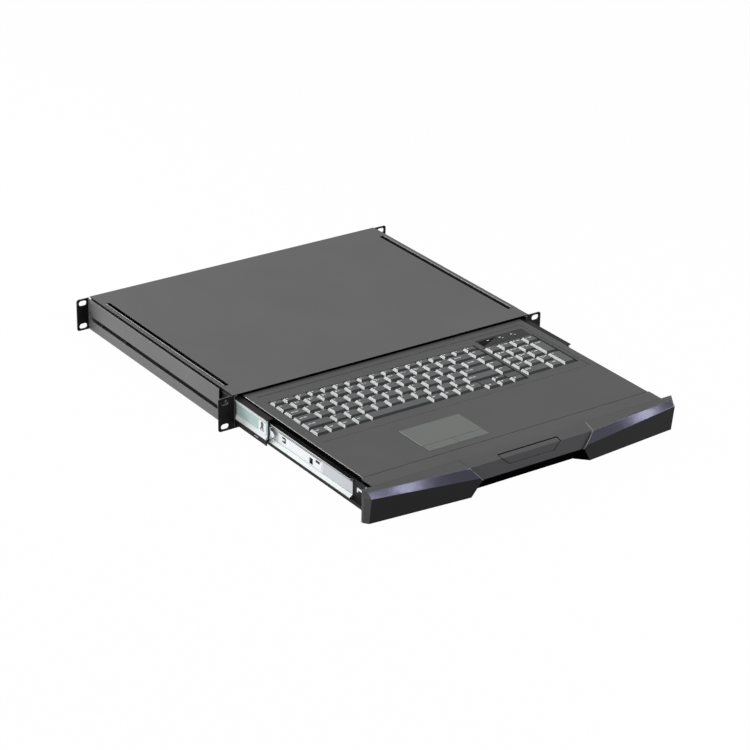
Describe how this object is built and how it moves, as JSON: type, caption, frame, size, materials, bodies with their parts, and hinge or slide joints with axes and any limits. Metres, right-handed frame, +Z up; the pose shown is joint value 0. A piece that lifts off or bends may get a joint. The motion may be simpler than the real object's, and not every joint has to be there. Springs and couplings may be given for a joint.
{
  "type": "rackmount keyboard drawer",
  "caption": "Rackmount keyboard drawer: flat steel chassis with rack ears and ball slides, and a pull-out tray with keyboard, touchpad and a latched front bezel.",
  "frame": {"origin": "on the centre line, on the chassis underside, in the plane of the front ears' rear faces", "axes": "+X to the right seen from the front, +Y to the rear of the rack, +Z up; the drawer opens toward -Y"},
  "size_m": [0.4826, 0.6496, 0.0447],
  "materials": {
    "chassis_paint": "satin powder coat, dark grey",
    "black_paint": "semi-matt black paint",
    "zinc_plate": "zinc plated, faintly blue-green",
    "bright_steel": "bright zinc plated",
    "deck_plastic": "fine grained dark grey plastic",
    "key_plastic": "smooth dark grey plastic",
    "pad_plastic": "finely textured grey film",
    "bezel_plastic": "semi-gloss dark plastic",
    "panel_plastic": "smoked gloss plastic",
    "light_plastic": "clear light guide",
    "board_laminate": "green circuit laminate",
    "retainer_plastic": "natural nylon"
  },
  "bodies": {
    "chassis": {"chassis_pan": "chassis_paint", "top_cover": "chassis_paint", "front_ear_left": "black_paint", "front_ear_right": "black_paint", "cabinet_slide_left": "zinc_plate", "cabinet_slide_right": "zinc_plate", "cover_screws": "black_paint", "ear_screws": "black_paint", "bracket_guide_studs": "black_paint"},
    "drawer": {"drawer_tray": "black_paint", "drawer_slide_left": "bright_steel", "drawer_slide_right": "bright_steel", "keyboard_deck": "deck_plastic", "key_plate": "bright_steel", "key_membrane": "board_laminate", "controller_board": "board_laminate", "touchpad": "pad_plastic", "indicator_panel": "panel_plastic", "indicator_lights": "light_plastic", "bezel_centre": "bezel_plastic", "bezel_wing_left": "bezel_plastic", "bezel_wing_right": "bezel_plastic", "bezel_brackets": "bright_steel", "latch_pin": "bright_steel"},
    "latch": {"latch_paddle": "bezel_plastic", "latch_arm": "bright_steel"},
    "rear_bracket_left": {"rear_bracket_left": "chassis_paint"},
    "carriage_left": {"carriage_channel_left": "black_paint", "carriage_member_left": "zinc_plate", "carriage_track_left": "zinc_plate", "carriage_end_left": "bright_steel"},
    "outer_retainer_left": {"outer_retainer_left": "retainer_plastic"},
    "inner_retainer_left": {"inner_retainer_left": "retainer_plastic"},
    "touchpad_button_left": {"touchpad_button_left": "pad_plastic"},
    "rear_bracket_right": {"rear_bracket_right": "chassis_paint"},
    "carriage_right": {"carriage_channel_right": "black_paint", "carriage_member_right": "zinc_plate", "carriage_track_right": "zinc_plate", "carriage_end_right": "bright_steel"},
    "outer_retainer_right": {"outer_retainer_right": "retainer_plastic"},
    "inner_retainer_right": {"inner_retainer_right": "retainer_plastic"},
    "touchpad_button_right": {"touchpad_button_right": "pad_plastic"},
    "function_keys": {"function_keys": "key_plastic"},
    "number_keys": {"number_keys": "key_plastic"},
    "backspace_key": {"backspace_key": "key_plastic"},
    "tab_key": {"tab_key": "key_plastic"},
    "upper_letter_keys": {"upper_letter_keys": "key_plastic"},
    "caps_lock_key": {"caps_lock_key": "key_plastic"},
    "home_letter_keys": {"home_letter_keys": "key_plastic"},
    "enter_key": {"enter_key": "key_plastic"},
    "left_shift_key": {"left_shift_key": "key_plastic"},
    "lower_letter_keys": {"lower_letter_keys": "key_plastic"},
    "right_shift_key": {"right_shift_key": "key_plastic"},
    "modifier_keys": {"modifier_keys": "key_plastic"},
    "space_bar": {"space_bar": "key_plastic"},
    "navigation_keys": {"navigation_keys": "key_plastic"},
    "arrow_keys": {"arrow_keys": "key_plastic"},
    "numpad_keys": {"numpad_keys": "key_plastic"},
    "numpad_tall_keys": {"numpad_tall_keys": "key_plastic"},
    "numpad_zero_key": {"numpad_zero_key": "key_plastic"}
  },
  "joints": [
    {"name": "drawer_slide", "type": "slide", "parent": "chassis", "child": "drawer", "axis": [0, 1, 0], "range_m": [0, 0.275]},
    {"name": "rear_bracket_left_adjust", "type": "slide", "parent": "chassis", "child": "rear_bracket_left", "axis": [0, 1, 0], "range_m": [0, 0.2]},
    {"name": "carriage_left_run", "type": "slide", "parent": "chassis", "child": "carriage_left", "axis": [0, 1, 0], "range_m": [0, 0.1014]},
    {"name": "outer_retainer_left_run", "type": "slide", "parent": "chassis", "child": "outer_retainer_left", "axis": [0, 1, 0], "range_m": [0, 0.051]},
    {"name": "inner_retainer_left_run", "type": "slide", "parent": "chassis", "child": "inner_retainer_left", "axis": [0, 1, 0], "range_m": [0, 0.1885]},
    {"name": "rear_bracket_right_adjust", "type": "slide", "parent": "chassis", "child": "rear_bracket_right", "axis": [0, 1, 0], "range_m": [0, 0.2]},
    {"name": "carriage_right_run", "type": "slide", "parent": "chassis", "child": "carriage_right", "axis": [0, 1, 0], "range_m": [0, 0.124]},
    {"name": "outer_retainer_right_run", "type": "slide", "parent": "chassis", "child": "outer_retainer_right", "axis": [0, 1, 0], "range_m": [0, 0.0622]},
    {"name": "inner_retainer_right_run", "type": "slide", "parent": "chassis", "child": "inner_retainer_right", "axis": [0, 1, 0], "range_m": [0, 0.1997]},
    {"name": "latch_press", "type": "hinge", "parent": "drawer", "child": "latch", "pos_m": [0, -0.2905, 0.0358], "axis": [1, 0, 0], "range_deg": [0, 5], "stiffness_Nm_per_rad": 0.2},
    {"name": "touchpad_button_left_press", "type": "slide", "parent": "drawer", "child": "touchpad_button_left", "axis": [0, 0, -1], "range_m": [0, 0.0008], "stiffness_N_per_m": 800},
    {"name": "touchpad_button_right_press", "type": "slide", "parent": "drawer", "child": "touchpad_button_right", "axis": [0, 0, -1], "range_m": [0, 0.0008], "stiffness_N_per_m": 800},
    {"name": "function_keys_press", "type": "slide", "parent": "drawer", "child": "function_keys", "axis": [0, 0, -1], "range_m": [0, 0.0022], "stiffness_N_per_m": 3400},
    {"name": "number_keys_press", "type": "slide", "parent": "drawer", "child": "number_keys", "axis": [0, 0, -1], "range_m": [0, 0.0022], "stiffness_N_per_m": 2600},
    {"name": "backspace_key_press", "type": "slide", "parent": "drawer", "child": "backspace_key", "axis": [0, 0, -1], "range_m": [0, 0.0022], "stiffness_N_per_m": 200},
    {"name": "tab_key_press", "type": "slide", "parent": "drawer", "child": "tab_key", "axis": [0, 0, -1], "range_m": [0, 0.0022], "stiffness_N_per_m": 200},
    {"name": "upper_letter_keys_press", "type": "slide", "parent": "drawer", "child": "upper_letter_keys", "axis": [0, 0, -1], "range_m": [0, 0.0022], "stiffness_N_per_m": 2600},
    {"name": "caps_lock_key_press", "type": "slide", "parent": "drawer", "child": "caps_lock_key", "axis": [0, 0, -1], "range_m": [0, 0.0022], "stiffness_N_per_m": 200},
    {"name": "home_letter_keys_press", "type": "slide", "parent": "drawer", "child": "home_letter_keys", "axis": [0, 0, -1], "range_m": [0, 0.0022], "stiffness_N_per_m": 2200},
    {"name": "enter_key_press", "type": "slide", "parent": "drawer", "child": "enter_key", "axis": [0, 0, -1], "range_m": [0, 0.0022], "stiffness_N_per_m": 200},
    {"name": "left_shift_key_press", "type": "slide", "parent": "drawer", "child": "left_shift_key", "axis": [0, 0, -1], "range_m": [0, 0.0022], "stiffness_N_per_m": 200},
    {"name": "lower_letter_keys_press", "type": "slide", "parent": "drawer", "child": "lower_letter_keys", "axis": [0, 0, -1], "range_m": [0, 0.0022], "stiffness_N_per_m": 2000},
    {"name": "right_shift_key_press", "type": "slide", "parent": "drawer", "child": "right_shift_key", "axis": [0, 0, -1], "range_m": [0, 0.0022], "stiffness_N_per_m": 200},
    {"name": "modifier_keys_press", "type": "slide", "parent": "drawer", "child": "modifier_keys", "axis": [0, 0, -1], "range_m": [0, 0.0022], "stiffness_N_per_m": 1600},
    {"name": "space_bar_press", "type": "slide", "parent": "drawer", "child": "space_bar", "axis": [0, 0, -1], "range_m": [0, 0.0022], "stiffness_N_per_m": 200},
    {"name": "navigation_keys_press", "type": "slide", "parent": "drawer", "child": "navigation_keys", "axis": [0, 0, -1], "range_m": [0, 0.0022], "stiffness_N_per_m": 800},
    {"name": "arrow_keys_press", "type": "slide", "parent": "drawer", "child": "arrow_keys", "axis": [0, 0, -1], "range_m": [0, 0.0022], "stiffness_N_per_m": 800},
    {"name": "numpad_keys_press", "type": "slide", "parent": "drawer", "child": "numpad_keys", "axis": [0, 0, -1], "range_m": [0, 0.0022], "stiffness_N_per_m": 2800},
    {"name": "numpad_tall_keys_press", "type": "slide", "parent": "drawer", "child": "numpad_tall_keys", "axis": [0, 0, -1], "range_m": [0, 0.0022], "stiffness_N_per_m": 400},
    {"name": "numpad_zero_key_press", "type": "slide", "parent": "drawer", "child": "numpad_zero_key", "axis": [0, 0, -1], "range_m": [0, 0.0022], "stiffness_N_per_m": 200}
  ],
  "couplings": [
    {"joint": "carriage_left_run", "follows": "drawer_slide", "ratio": 0.367},
    {"joint": "outer_retainer_left_run", "follows": "drawer_slide", "ratio": 0.1835},
    {"joint": "inner_retainer_left_run", "follows": "drawer_slide", "ratio": 0.6835},
    {"joint": "carriage_right_run", "follows": "drawer_slide", "ratio": 0.449},
    {"joint": "outer_retainer_right_run", "follows": "drawer_slide", "ratio": 0.2245},
    {"joint": "inner_retainer_right_run", "follows": "drawer_slide", "ratio": 0.7245}
  ]
}
